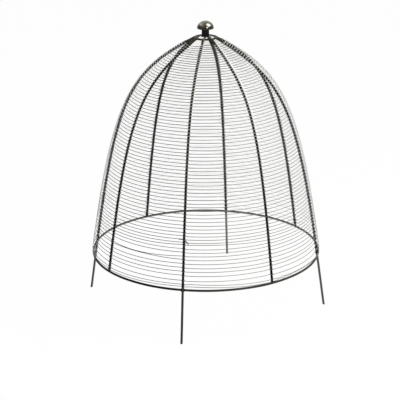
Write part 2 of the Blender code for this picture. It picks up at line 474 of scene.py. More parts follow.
@dataclass(frozen=True)
class Finish:
    """A metal or paint surface: two tones in patches, specks, uneven gloss and a fine bump.

    Sizes of the patterns are real ones, in millimetres. The speck share goes from 0, almost
    none, to 1, nearly everywhere. All methods but build take what adds a node.
    """

    name: str
    tone: str
    second_tone: str
    patch_mm: float
    speck_tone: str
    speck_mm: float
    speck_share: float
    gloss: tuple[float, float] = (0.3, 0.45)
    metallic: float = 0.0
    bump_mm: float = 0.9
    bump_height_mm: float = 0.04
    specular: float = 0.5
    seed: float = 0.0

    CLOUD_DETAIL = 3.0
    CLOUD_ROUGHNESS = 0.6
    GLOSS_CLOUD = (0.35, 0.65)
    PATCH_CLOUD = (0.4, 0.6)
    SPECK_EDGE = 0.68
    SPECK_SPREAD = 0.3
    SPECK_BLUR = 0.08

    @cache
    def build(self) -> Material:
        """Make the material, on Object coordinates. A second call gets the same one.

        Returns:
            The material.
        """
        material = bpy.data.materials.new(self.name)
        add = empty_tree(material)
        rough = add(Use.RANGE, self.pattern(add, self.patch_mm / 2), *self.GLOSS_CLOUD, *self.gloss)
        depth = self.bump_height_mm * MILLIMETRE
        bump = add(Use.BUMP, self.pattern(add, self.bump_mm), 1.0, depth)
        look = (self.colour(add), rough, self.metal(add), self.specular, bump)
        add(Use.SURFACE, add(Use.SHADER, *look))
        return material

    def pattern(self, add: Add, size_mm: float) -> NodeSocket:
        """Add cloudy noise, about 0.3 to 0.7, with features of a real size."""
        detail = (1 / (size_mm * MILLIMETRE), self.CLOUD_DETAIL, self.CLOUD_ROUGHNESS)
        return add(Use.NOISE, add(Use.ON_OBJECT), self.seed, *detail)

    def metal(self, add: Add) -> NodeSocket | float:
        """Say how metallic the surface is: here the same all over."""
        return self.metallic

    def colour(self, add: Add) -> NodeSocket:
        """Mix the two tones in soft patches and scatter the specks over them.

        Args:
            add: What adds a node.

        Returns:
            The colour.
        """
        patches = add(Use.RANGE, self.pattern(add, self.patch_mm), *self.PATCH_CLOUD)
        body = add(Use.TINT, patches, srgb(self.tone), srgb(self.second_tone))
        edge = self.SPECK_EDGE - self.SPECK_SPREAD * self.speck_share
        specks = add(Use.RANGE, self.pattern(add, self.speck_mm), edge, edge + self.SPECK_BLUR)
        return add(Use.TINT, specks, body, srgb(self.speck_tone))


@dataclass(frozen=True)
class CoatWithPaintedLight(Finish):
    """A finish with painted light and shade, for rods and wire seen from outside the dome.

    A surface that looks into the dome takes a lighter inner tone, as painted light. Where a
    share is given, the colour is painted lighter from the left of the dome to the right, as
    painted light. Where a heated tone is given, the torch has browned the coat up by the crown
    ring. Where a reach is given, the wire that close to a rib is painted black all round as
    painted shade, and the outer side of each wrap gets a painted highlight, brightest at the
    crown.
    """

    # Painted light: the lighter tone of the side that looks into the dome, and where it starts.
    bare_tone: str = WHITE
    bare_edge: tuple[float, float] = (-0.5, -0.15)
    # Painted light: the tone towards the right of the dome, and its largest share.
    thin_tone: str = WHITE
    thin_share: float = 0.0
    heated_tone: str = ""
    # Painted shade: the black round the ribs, and how far along the wire it reaches.
    pooled_tone: str = WHITE
    pooled_mm: float = 0.0
    # Painted highlight: the tone of each wrap's outer pass, low down and at the crown.
    rubbed_tone: str = WHITE
    rubbed_top_tone: str = WHITE

    FLAT = (1.0, 1.0, 0.0)
    # Span across the dome over which the painted light of the right side ramps up.
    THINNING = (-0.03, 0.11)
    HEATED = (0.5065, 0.5115)
    # Heights over which the painted highlight of the wraps brightens.
    RUBBING = (0.25, 0.46)
    # How far past its reach the painted shade round the ribs fades out.
    POOL_FADE = 1.3

    def metal(self, add: Add) -> NodeSocket | float:
        """Say how metallic the surface is: nothing on the side that looks into the dome, which is
        painted light.
        """
        return add(Use.MULTIPLY, self.outer(add), self.metallic) if self.metallic else 0.0

    def colour(self, add: Add) -> NodeSocket:
        """Lay the coat, with its painted light and shade, over the lighter inner tone painted where
        the surface looks into the dome.

        Args:
            add: What adds a node.

        Returns:
            The colour.
        """
        right, _back, height = add(Use.SPLIT, add(Use.ON_OBJECT)).node.outputs
        coat = super().colour(add)
        outer = not_inner_lit = self.outer(add)
        near = self.near_rib(add) if self.pooled_mm else 0.0
        # Painted light: lighter from the left of the dome to the right, less so close to a rib.
        if self.thin_share:
            right_lit = add(Use.RANGE, right, *self.THINNING, 0.0, self.thin_share)
            thin = add(Use.SUBTRACT, right_lit, add(Use.MULTIPLY, near, right_lit))
            coat = add(Use.TINT, thin, coat, srgb(self.thin_tone))
        if self.heated_tone:
            heated = add(Use.RANGE, height, *self.HEATED)
            coat = add(Use.TINT, heated, coat, srgb(self.heated_tone))
        # Painted shade: the wire close to a rib is painted black all round.
        if self.pooled_mm:
            not_inner_lit = add(Use.MAXIMUM, outer, near)
            # Painted highlight: the outer pass of each wrap is painted lighter, most at the crown.
            highlight_rise = add(Use.RANGE, height, *self.RUBBING)
            wrap_highlight = add(Use.TINT, highlight_rise, srgb(self.rubbed_tone), srgb(self.rubbed_top_tone))
            crest = add(Use.MULTIPLY, add(Use.MULTIPLY, near, add(Use.TOP_PASS)), outer)
            rib_shaded = add(Use.TINT, near, coat, srgb(self.pooled_tone))
            coat = add(Use.TINT, crest, rib_shaded, wrap_highlight)
        # Painted light: the side that looks into the dome takes the lighter inner tone.
        return add(Use.TINT, not_inner_lit, srgb(self.bare_tone), coat)

    def outer(self, add: Add) -> NodeSocket:
        """Find where the surface looks out of the dome.

        Args:
            add: What adds a node.

        Returns:
            1 outside and 0 where the surface looks into the dome.
        """
        place = add(Use.ON_OBJECT)
        outwards = add(Use.UNIT, add(Use.VECTOR_MULTIPLY, place, self.FLAT))
        facing = add(Use.DOT, outwards, place.node.outputs["Normal"])
        return add(Use.RANGE, facing, *self.bare_edge)

    def near_rib(self, add: Add) -> NodeSocket:
        """Find how close a point is to the nearest rib, along the wire.

        Args:
            add: What adds a node.

        Returns:
            1 at a rib and 0 past the pooled reach.
        """
        place = add(Use.ON_OBJECT)
        right, back, _height = add(Use.SPLIT, place).node.outputs
        off = add(Use.PINGPONG, add(Use.BEARING, right, back), math.pi / len(RIB_NAMES))
        radius = add(Use.SIZE, add(Use.VECTOR_MULTIPLY, place, self.FLAT))
        reach = self.pooled_mm * MILLIMETRE
        arc = add(Use.MULTIPLY, off, radius)
        return add(Use.RANGE, arc, reach, reach * self.POOL_FADE, 1.0, 0.0)


@dataclass(frozen=True)
class DarkerRim(Finish):
    """A finish that is darker in a band round the rim than above it, with an uneven edge.

    Levels are heights above the ground, in metres.
    """

    rim_tone: str = WHITE
    dark_below: float = 0.0
    clean_above: float = 1.0

    def colour(self, add: Add) -> NodeSocket:
        """Darken the patches towards the rim, with an uneven edge.

        Args:
            add: What adds a node.

        Returns:
            The colour.
        """
        level = add(Use.SPLIT, add(Use.ON_OBJECT)).node.outputs[2]
        fade = self.clean_above - self.dark_below
        lift = add(Use.MULTIPLY_ADD, self.pattern(add, self.patch_mm / 2), fade, level)
        lighter = add(Use.RANGE, lift, self.dark_below + fade / 2, self.clean_above + fade / 2)
        return add(Use.TINT, lighter, srgb(self.rim_tone), super().colour(add))


# Mild steel rod, drawn, then brushed with black lacquer: near black and satin, with thin
# places where the scale shows, a few rusty specks and an olive brown end where the torch has
# heated it. The side that looks into the dome is painted a lighter grey, as painted light.
RIB_LACQUER = CoatWithPaintedLight(
    name="black lacquered steel rod, brushed", tone="#030303", second_tone="#0b0c09",
    patch_mm=9.0, speck_tone="#2b2116", speck_mm=2.2, speck_share=0.2, specular=0.04,
    seed=1.0, bare_tone="#2a2a27", heated_tone="#36342a",
)
# The same rod bent into the rings, where the welding heat has left the lacquer browner. The side
# that looks into the dome is painted a lighter grey, and the ring is painted lighter towards the
# right, both as painted light.
RING_LACQUER = CoatWithPaintedLight(
    name="black lacquered steel ring, brushed", tone="#060605", second_tone="#141310",
    patch_mm=14.0, speck_tone="#33261a", speck_mm=2.6, speck_share=0.25, specular=0.1,
    seed=2.0, bare_tone="#77756e", bare_edge=(-0.95, -0.72), thin_tone="#55544c",
    thin_share=0.42,
)
# The same rod with one thin coat, so the grey green of the mill scale comes through. It is
# painted lighter towards the right and on the side that looks into the dome, as painted light.
LEG_LACQUER = CoatWithPaintedLight(
    name="thin lacquer over mill scale, brushed", tone="#141612", second_tone="#2b2f28",
    patch_mm=7.0, speck_tone="#0d0e0b", speck_mm=1.8, speck_share=0.3, gloss=(0.32, 0.5),
    bump_mm=0.8, bump_height_mm=0.05, specular=0.2, seed=3.0, bare_tone="#6f7069",
    thin_tone="#696b63", thin_share=0.35,
)
# Soft steel binding wire, zinc coated, dark grey and dull on its outer side. Its painted light
# and shade: lighter towards the right, black round the ribs as painted shade, near white on
# the side that looks into the dome as painted light, and a painted highlight on the outer side
# of the wraps, brightest at the crown.
WIRE_ZINC = CoatWithPaintedLight(
    name="zinc coated binding wire, brushed dark", tone="#100f0e", second_tone="#23221f",
    patch_mm=5.0, speck_tone="#1b1a17", speck_mm=1.6, speck_share=0.3, gloss=(0.28, 0.42),
    metallic=0.4, bump_mm=0.35, bump_height_mm=0.01, specular=0.2, seed=4.0,
    bare_tone="#fdfdfb", bare_edge=(-0.35, 0.0), thin_tone="#86847d", thin_share=0.8,
    pooled_tone="#040404", pooled_mm=3.6, rubbed_tone="#6a6760", rubbed_top_tone="#e6e3da",
)
# The same wire at the splice, where the coat has pooled in the twist.
TAIL_ZINC = replace(
    WIRE_ZINC, name="zinc coated binding wire, dark in the twist", tone="#1d1c1a",
    second_tone="#2f2e2a", metallic=0.1, specular=0.5, pooled_mm=0.0,
)
# Brass filler run into the crown joints, sooted by the torch.
SOOTED_BRAZE = Finish(
    name="brass filler, torch brazed and sooted", tone="#1d1d16", second_tone="#3d3929",
    patch_mm=5.0, speck_tone="#6f5b40", speck_mm=1.2, speck_share=0.05, gloss=(0.3, 0.5),
    metallic=0.5, bump_mm=0.6, bump_height_mm=0.08, seed=5.0,
)
# The same filler at the front: brass tan with an orange edge, painted lighter than the other
# joints as a highlight.
FRONT_HIGHLIT_BRAZE = replace(
    SOOTED_BRAZE, name="brass filler, torch brazed and scraped", tone="#b89d7e",
    second_tone="#7d5c3e", patch_mm=3.0, speck_tone="#3a2c1c", speck_share=0.25, seed=5.5,
)
# Filler metal of the ring joints under lacquer: dark, heat browned and lumpy.
WELD_METAL = Finish(
    name="arc weld metal under black lacquer", tone="#141210", second_tone="#2c251b",
    patch_mm=3.0, speck_tone="#6b6459", speck_mm=0.9, speck_share=0.1, gloss=(0.3, 0.55),
    metallic=0.2, bump_mm=0.5, bump_height_mm=0.1, seed=6.0,
)
# Cast iron post, blackened over a flame, with traces of rust.
BURNT_IRON = Finish(
    name="flame blackened cast iron", tone="#050505", second_tone="#0e100f", patch_mm=4.0,
    speck_tone="#331d12", speck_mm=1.5, speck_share=0.3, gloss=(0.35, 0.55), bump_mm=0.5,
    bump_height_mm=0.07, specular=0.12, seed=7.0,
)
# Pewter plate over a cast cap: warm grey, browned in places and darker green grey in a band
# round the rim.
ANTIQUE_PEWTER = DarkerRim(
    name="antique pewter plate, hand polished", tone="#b4b1a6", second_tone="#7d7a6e",
    patch_mm=9.0, speck_tone="#5c452f", speck_mm=8.0, speck_share=0.45, gloss=(0.1, 0.22),
    metallic=1.0, bump_mm=2.5, bump_height_mm=0.12, seed=16.0, rim_tone="#3a3c35",
    dark_below=0.537, clean_above=0.545,
)


def rod_grower() -> Grower:
    """Tree that grows a round rod on a path, with slight kinks from hand bending.

    The kinks die out towards the ground, so a leg stands on its foot, which is cut off
    level there.

    Returns:
        The tree's grower.
    """
    tree = Grower("Rod on a path", {
        Kind.LENGTH: ("rod_diameter", "kink", "kink_spacing", "seed"),
        Kind.COUNT: ("sides",), Kind.MATERIAL: ("finish",),
    })
    add, given = tree.add, tree.given
    place = add(Use.POSITION)
    right, back, height = add(Use.SPLIT, place).node.outputs
    per_metre = add(Use.DIVIDE, 1.0, given["kink_spacing"])
    detail = 0.0
    kinks = add(Use.NOISE, place, given["seed"], per_metre, detail).node.outputs["Color"]
    centred = add(Use.VECTOR_SUBTRACT, kinks, (0.5, 0.5, 0.5))
    free = add(Use.SHARE, height, given["kink_spacing"])
    offset = add(Use.SCALE, centred, add(Use.MULTIPLY, given["kink"], free))
    bent = add(Use.SHIFT, add(Use.TO_CURVE, given["geometry"]), offset)
    half = add(Use.MULTIPLY, given["rod_diameter"], 0.5)
    rod = add(Use.SWEEP, bent, add(Use.CIRCLE, given["sides"], half), True)
    level = add(Use.COMBINE, right, back, add(Use.MAXIMUM, height, GROUND))
    return tree.close(add(Use.PLACE, rod, level))


@dataclass(frozen=True)
class RodWork:
    """The welded skeleton: two rings, eight ribs, four legs and the bar under the knob.

    A rod ends inside the rod that it is welded to, a share of that one's thickness off its
    middle.
    """

    sizes: Measures
    line: RibLine
    sides: int = 16
    ring_steps: int = 240
    crown_steps: int = 72
    rib_steps: int = 96
    leg_steps: int = 24
    bar_steps: int = 12
    end_share: float = 0.4
    kink: float = 0.5 * MILLIMETRE
    kink_spacing: float = 70 * MILLIMETRE
    crease: float = math.radians(50)

    def build(self) -> None:
        """Grow every rod and fit it in place of its solid."""
        tree = rod_grower()
        for names, path, thickness, finish, slot in self.rows():
            for number, node in enumerate(names):
                name = f"{node}_rod"
                turned = [turn(point, math.tau * number / len(names)) for point in path]
                piece = chain(name, [turned], closed=slot is Slot.RING)
                own = {"rod_diameter": thickness, "seed": float(len(name)), "finish": finish.build()}
                tree.grow(piece, vars(self) | own, self.crease)
                fit(piece, slot, node)

    def rows(self) -> list[tuple[Sequence[str], list[Vector], float, Finish, Slot]]:
        """List the rows of like rods, evenly spaced round the axis.

        Returns:
            For each row its solids, the path of its front rod, and the thickness, finish and
            slot of its rods.
        """
        sizes, line = self.sizes, self.line
        base = self.circle(sizes.ring_radius, sizes.ring_level, self.ring_steps)
        crown = self.circle(sizes.crown_radius, sizes.crown_level, self.crown_steps)
        start = sizes.crown_rod * self.end_share
        end = line.length - sizes.ring_rod * self.end_share
        rib = line.stretch(start, end, self.rib_steps)
        reach = sizes.crown_radius - start
        bar = [
            Vector((0.0, reach * (2 * step / self.bar_steps - 1), sizes.crown_level))
            for step in range(self.bar_steps + 1)
        ]
        return [
            (("base_ring",), base, sizes.ring_rod, RING_LACQUER, Slot.RING),
            (("crown_ring",), crown, sizes.crown_rod, RING_LACQUER, Slot.RING),
            (RIB_NAMES, rib, sizes.rib_rod, RIB_LACQUER, Slot.RIB),
            (LEG_NAMES, self.leg(), sizes.leg_rod, LEG_LACQUER, Slot.LEG),
            (("cross_bar",), bar, sizes.bar_rod, SOOTED_BRAZE, Slot.BAR),
        ]

    def circle(self, radius: float, level: float, steps: int) -> list[Vector]:
        """Points of a level ring, the first of them at the front."""
        start = Vector((0.0, -radius, level))
        return [turn(start, math.tau * step / steps) for step in range(steps)]

    def leg(self) -> list[Vector]:
        """Find the middle of the front leg, to just under the ground.

        Returns:
            Points down the leg.
        """
        sizes = self.sizes
        down = Vector((0.0, -math.sin(sizes.splay), -math.cos(sizes.splay)))
        joint = Vector((0.0, -sizes.ring_radius, sizes.ring_level))
        top = joint + down * (sizes.ring_rod * self.end_share)
        below = sizes.leg_rod / 2 * math.sin(sizes.splay)
        length = (top.z + below) / math.cos(sizes.splay)
        return [top + down * length * step / self.leg_steps for step in range(self.leg_steps + 1)]


@dataclass(frozen=True)
class Stray:
    """A place on the wire, in turns from the crown, where it has slipped along the ribs.

    The reach is how far that is felt either way, in turns, and the drop is towards the foot.
    """

    at: float
    reach: float
    drop: float


@dataclass(frozen=True)
class WireLength:
    """One length of the infill wire, and the solids that it stands for.

    The end wrap is 1 where it ends with a wrap round its last rib, else 0.
    """

    name: str
    first_turn: float
    turns: float
    nodes: tuple[str, ...] = ()
    end_wrap: int = 0


@dataclass(frozen=True)
class InfillWire:
    """The fine wire wound from the crown to the base ring, wrapped round every rib.

    Its last quarter turn is twisted with the turn above it, and both end in a binding at
    the foot of the right rib. The crest of a wrap, where the finish paints its highlight,
    runs from a share of the wrap to a share of the span after it.
    """

    sizes: Measures
    line: RibLine
    lengths: tuple[WireLength, ...] = (
        WireLength("infill_wire_crown_wound", 0.0, 21.0, ("infill_wire_crown",)),
        WireLength("infill_wire_shoulder_wound", 21.0, 21.0, ("infill_wire_shoulder",)),
        WireLength("infill_wire_flank_wound", 42.0, 20.0, ("infill_wire_flank",)),
        WireLength("infill_wire_skirt_wound", 62.0, 12.0, ("infill_wire_skirt",), 1),
        WireLength("infill_wire_closing_turn", 74.25, 0.75, (), 1),
    )
    strays: tuple[Stray, ...] = (
        Stray(67.5, 8.0, -5.6 * MILLIMETRE),
        Stray(71.8, 1.6, -2.2 * MILLIMETRE),
        Stray(66.9225, 0.10, 4.2 * MILLIMETRE),
        Stray(67.9225, 0.08, -1.9 * MILLIMETRE),
        Stray(64.04, 0.09, -2.2 * MILLIMETRE),
        Stray(74.0, 0.12, -1.6 * MILLIMETRE),
        Stray(74.62, 0.45, 1.6 * MILLIMETRE),
        Stray(75.02, 0.10, -1.0 * MILLIMETRE),
    )
    spaced_turns: float = 74.0
    spacing_growth: float = 1.35
    first_turn_drop: float = 0.017
    last_turn_rise: float = 0.009
    closing_turns: float = 1.25
    closing_end_rise: float = 0.0055
    wrap_advance: float = 1.3 * MILLIMETRE
    wrap_points: int = 12
    span_points: int = 10
    wire_sides: int = 6
    slip: float = 0.28 * MILLIMETRE
    wander: float = 1.0 * MILLIMETRE
    seed: int = 7
    line_steps: int = 200
    crease: float = math.radians(80)

    WANDERS_PER_TURN = 1.7
    WANDER_DETAIL = 1.0
    # Shares that bound the crest of a wrap, where its painted highlight goes.
    CREST = (0.2, 0.5)

    def build(self) -> None:
        """Wind each length of the wire, fit it in place of its solid and bind the ends."""
        tree = self.winder()
        ends = [self.wind(length, tree) for length in self.lengths]
        WireEnds(self.sizes, self.line).build(*ends[-2:])

    def wind(self, length: WireLength, tree: Grower) -> Vector:
        """Wind one length of the wire.

        Args:
            length: Where it runs.
            tree: Wire tree.

        Returns:
            Middle of the wire's far end.
        """
        sizes, ribs = self.sizes, len(RIB_NAMES)
        spans = round(length.turns * ribs)
        points = spans * (self.wrap_points + self.span_points) + length.end_wrap * self.wrap_points
        piece = chain(length.name, [self.line.stretch(0.0, self.line.length, self.line_steps)])
        own = {
            "points": points + 1, "ribs": ribs, "first_rib": length.first_turn * ribs,
            "wrap_radius": (sizes.rib_rod + sizes.wire) / 2, "wire_diameter": sizes.wire,
            "finish": WIRE_ZINC.build(),
        }
        tree.grow(piece, vars(self) | own, self.crease)
        fit(piece, Slot.WIRE, *length.nodes)
        last = piece.data.vertices[-self.wire_sides:]
        return sum((vertex.co for vertex in last), Vector()) / self.wire_sides

    def winder(self) -> Grower:
        """Tree that winds wire round a dome of ribs and once round every rib it meets.

        The piece that it runs on is the middle of the front rib. Between ribs the wire lies
        on a level arc outside them. At a rib it goes once round the rod, over, behind and
        over again, which moves it down by one wrap advance.

        Returns:
            The tree's grower.
        """
        tree = Grower("Wound wire", {
            Kind.LENGTH: (
                "first_rib", "spaced_turns", "spacing_growth", "first_turn_drop",
                "last_turn_rise", "closing_turns", "closing_end_rise", "wrap_radius",
                "wrap_advance", "wire_diameter", "slip", "wander",
            ),
            Kind.COUNT: ("points", "ribs", "wrap_points", "span_points", "wire_sides", "seed"),
            Kind.MATERIAL: ("finish",),
        })
        add, given = tree.add, tree.given

        # Points of the wire: each rib that it crosses gets a wrap and the span after it.
        rib = add(Use.TO_CURVE, given["geometry"])
        thread = add(Use.TO_CURVE, add(Use.ROW, given["points"]))
        per_rib = add(Use.ADD, given["wrap_points"], given["span_points"])
        index = add(Use.INDEX)
        crossing = add(Use.FLOOR, add(Use.DIVIDE, add(Use.ADD, index, 0.5), per_rib))
        local = add(Use.SUBTRACT, index, add(Use.MULTIPLY, crossing, per_rib))

        # Share of the wrap done, then share of the span done.
        wrap = add(Use.SHARE, local, given["wrap_points"])
        past = add(Use.SUBTRACT, local, given["wrap_points"])
        span = add(Use.SHARE, past, given["span_points"])
        rib_number = add(Use.ADD, given["first_rib"], crossing)
        turns = add(Use.DIVIDE, add(Use.ADD, rib_number, span), given["ribs"])

        # Distance along the rib: evenly growing spacing, then the turns that close up.
        spaced = add(Use.MINIMUM, turns, given["spaced_turns"])
        extra = add(Use.SUBTRACT, given["spacing_growth"], 1.0)
        part = add(Use.DIVIDE, spaced, given["spaced_turns"])
        grown = add(Use.MULTIPLY, part, add(Use.MULTIPLY_ADD, extra, part, 2.0))
        share = add(Use.DIVIDE, grown, add(Use.ADD, extra, 2.0))
        ends = add(Use.ADD, given["first_turn_drop"], given["last_turn_rise"])
        room = add(Use.SUBTRACT, add(Use.CURVE_LENGTH, rib), ends)
        down = add(Use.MULTIPLY_ADD, room, share, given["first_turn_drop"])
        closed = add(Use.DIVIDE, add(Use.SUBTRACT, turns, spaced), given["closing_turns"])
        drawn = add(Use.SUBTRACT, given["last_turn_rise"], given["closing_end_rise"])
        down = add(Use.MULTIPLY_ADD, drawn, closed, down)

        # Each wrap has slipped a little along its rib, and the spans wander between them.
        slips = [
            add(Use.RANDOM, -1.0, 1.0, add(Use.ADD, rib_number, following), given["seed"])
            for following in (0.0, 1.0)
        ]
        down = add(Use.MULTIPLY_ADD, add(Use.BLEND, span, *slips), given["slip"], down)
        drift = add(Use.DRIFT, turns, self.WANDERS_PER_TURN, self.WANDER_DETAIL)
        down = add(Use.MULTIPLY_ADD, add(Use.SUBTRACT, drift, 0.5), given["wander"], down)
        for stray in self.strays:
            felt = add(Use.DIVIDE, add(Use.SUBTRACT, turns, stray.at), stray.reach)
            hump = add(Use.REMAINDER, 1.0, add(Use.MULTIPLY, felt, felt))
            down = add(Use.MULTIPLY_ADD, add(Use.MULTIPLY, hump, hump), stray.drop, down)
        ahead = add(Use.SUBTRACT, add(Use.SUBTRACT, wrap, span), 0.5)
        down = add(Use.MULTIPLY_ADD, ahead, given["wrap_advance"], down)

        # Round the rod from its outer side, then about the dome's axis.
        spot = add(Use.SAMPLE, rib, down)
        outward = add(Use.CROSS, spot.node.outputs["Tangent"], RIGHT)
        angle = add(Use.MULTIPLY, wrap, math.tau)
        out, side = (
            add(Use.MULTIPLY, add(use, angle), given["wrap_radius"])
            for use in (Use.COSINE, Use.SINE)
        )
        off_rod = add(Use.VECTOR_ADD, add(Use.SCALE, outward, out), add(Use.COMBINE, side))
        bearing = add(Use.MULTIPLY, turns, math.tau)
        place = add(Use.TURN, add(Use.VECTOR_ADD, spot, off_rod), bearing)
        # Mark the crest of each wrap, where the finish paints a highlight.
        begun = add(Use.MORE_THAN, wrap, self.CREST[0])
        crest = add(Use.MULTIPLY, begun, add(Use.LESS_THAN, span, self.CREST[1]))
        wound = add(Use.MARK, add(Use.PLACE, thread, place), TOP_PASS, crest)
        half = add(Use.MULTIPLY, given["wire_diameter"], 0.5)
        return tree.close(add(Use.SWEEP, wound, add(Use.CIRCLE, given["wire_sides"], half), True))


@dataclass(frozen=True)
class WireEnds:
    """Where the wire ends: the twisted pair, its binding, and the pigtail of the splice.

    The corners of the pigtail and of the stub beside it are millimetres to the right of the
    front rib, out of the dome and down the rib.
    """

    sizes: Measures
    line: RibLine
    sides: int = 8
    kink: float = 0.0
    kink_spacing: float = 1.0
    seed: float = 0.0
    crease: float = math.radians(80)
    pair_turn: float = math.radians(90)
    pair_start_rise: float = 9.6 * MILLIMETRE
    pair_end_rise: float = 5.4 * MILLIMETRE
    pair_settled: float = 0.5
    pair_arch: float = 2.4 * MILLIMETRE
    pair_radius: float = 2.2 * MILLIMETRE
    pair_pitch: float = 9 * MILLIMETRE
    pair_closing: tuple[float, float] = (0.5, 0.72)
    pair_step: float = 0.9 * MILLIMETRE
    joining_length: float = 14 * MILLIMETRE
    binding_turns: float = 3.0
    binding_pitch: float = 1.95 * MILLIMETRE
    binding_steps: int = 14
    splice_turn_drop: float = 0.3927
    tail_length: float = 11 * MILLIMETRE
    tail_radius: float = 0.56 * MILLIMETRE
    tail_pitch: float = 5.0 * MILLIMETRE
    tail_steps: int = 36
    tail_corners: tuple[tuple[float, float, float], ...] = (
        (-0.5, 3.4, -0.6), (2.4, 3.8, 0.3), (4.8, 4.2, 2.2), (7.0, 4.2, 4.6), (8.8, 3.4, 7.0),
    )
    stub_corners: tuple[tuple[float, float, float], ...] = (
        (-0.5, 3.4, -0.6), (-4.6, 3.3, -1.0), (-9.5, 3.0, -1.1),
    )

    def build(self, upper: Vector, lower: Vector) -> None:
        """Make the pair with its binding, and the pigtail.

        Args:
            upper: End of the upper strand at the front rib.
            lower: End of the lower strand at the front rib.
        """
        tree = rod_grower()
        strands = [self.strand(upper, 0.0), self.strand(lower, math.pi)]
        for name, paths, finish in (
            ("infill_wire_twisted_end", strands, WIRE_ZINC),
            ("infill_wire_splice_tail", self.tail(), TAIL_ZINC),
        ):
            piece = chain(name, paths)
            own = {"rod_diameter": self.sizes.wire, "finish": finish.build()}
            tree.grow(piece, vars(self) | own, self.crease)
            fit(piece, Slot.WIRE)

    def axes(self, distance: float) -> tuple[Vector, Vector, Vector]:
        """Middle of the front rib at a distance, the way out of the dome and the way up it."""
        above, below = (self.line.at(distance + by * MILLIMETRE) for by in (-1, 1))
        up = (above - below).normalized()
        return self.line.at(distance), up.cross(RIGHT) * -1, up

    def strand(self, start: Vector, phase: float) -> list[Vector]:
        """Path of one strand of the twisted pair, and then of its half of the binding.

        Args:
            start: Where the strand begins, at the front rib.
            phase: Place of the strand in the twist, 0 above or pi below.

        Returns:
            Points of the strand's middle.
        """
        rise = self.pair_start_rise - self.pair_end_rise
        arc = self.sizes.ring_radius * self.pair_turn
        steps = round(arc / self.pair_step)
        touching = self.sizes.wire / 2
        seat = (self.sizes.rib_rod + self.sizes.wire) / 2
        opened, shut = self.pair_closing
        points = []
        for step in range(steps + 1):
            share = step / steps
            level = self.pair_end_rise + rise * (1 - ease(share / self.pair_settled))
            if share > self.pair_settled:
                last_span = (share - self.pair_settled) / (1 - self.pair_settled)
                level += self.pair_arch * math.sin(math.pi * last_span)
            middle, out, up = self.axes(self.line.length - level)
            closed = ease((share - opened) / (shut - opened))
            radius = self.pair_radius + (touching - self.pair_radius) * closed
            twisting = max(0.0, share - opened)
            if share < shut:
                twisting = twisting**2 / 2 / (shut - opened)
            else:
                twisting -= (shut - opened) / 2
            angle = phase + math.tau * arc * twisting / self.pair_pitch
            point = middle + out * (seat + radius * closed + radius * math.sin(angle))
            point += up * radius * math.cos(angle)
            points.append(turn(point, self.pair_turn * share))
        gap = start - points[0]
        for step, point in enumerate(points):
            point += gap * (1 - ease(arc * step / steps / self.joining_length))
        handed = -self.binding_pitch / 2 if phase else 0.0
        for step in range(1, round(self.binding_turns * self.binding_steps) + 1):
            angle = math.tau * step / self.binding_steps
            climb = self.pair_end_rise + handed + self.binding_pitch * step / self.binding_steps
            middle, out, _up = self.axes(self.line.length - climb)
            coil = out * math.cos(angle) + RIGHT * math.sin(angle)
            points.append(turn(middle + coil * seat, self.pair_turn))
        return points

    def tail(self) -> list[list[Vector]]:
        """Path of the stub beside the splice, then of the two strands of the pigtail.

        Returns:
            Points of each wire's middle.
        """
        stub, corners = (
            [self.beside(*corner) for corner in given]
            for given in (self.stub_corners, self.tail_corners)
        )
        shares = [step / self.tail_steps for step in range(self.tail_steps + 1)]
        strands = [[along(stub, share) for share in shares]]
        near = 0.01
        for phase in (0.0, math.pi):
            strands.append([])
            for share in shares:
                ahead = along(corners, min(1.0, share + near))
                behind = along(corners, max(0.0, share - near))
                heading = (ahead - behind).normalized()
                side = heading.cross(Vector((0.0, -1.0, 0.0))).normalized()
                angle = phase + math.tau * share * self.tail_length / self.tail_pitch
                spoke = side * math.cos(angle) + heading.cross(side) * math.sin(angle)
                strands[-1].append(along(corners, share) + spoke * self.tail_radius)
        return strands

    def beside(self, side: float, out_by: float, down_by: float) -> Vector:
        """Point beside the front rib at the splice, given in millimetres."""
        middle, out, _up = self.axes(self.splice_turn_drop + down_by * MILLIMETRE)
        return middle + out * out_by * MILLIMETRE + Vector((side * MILLIMETRE, 0, 0))


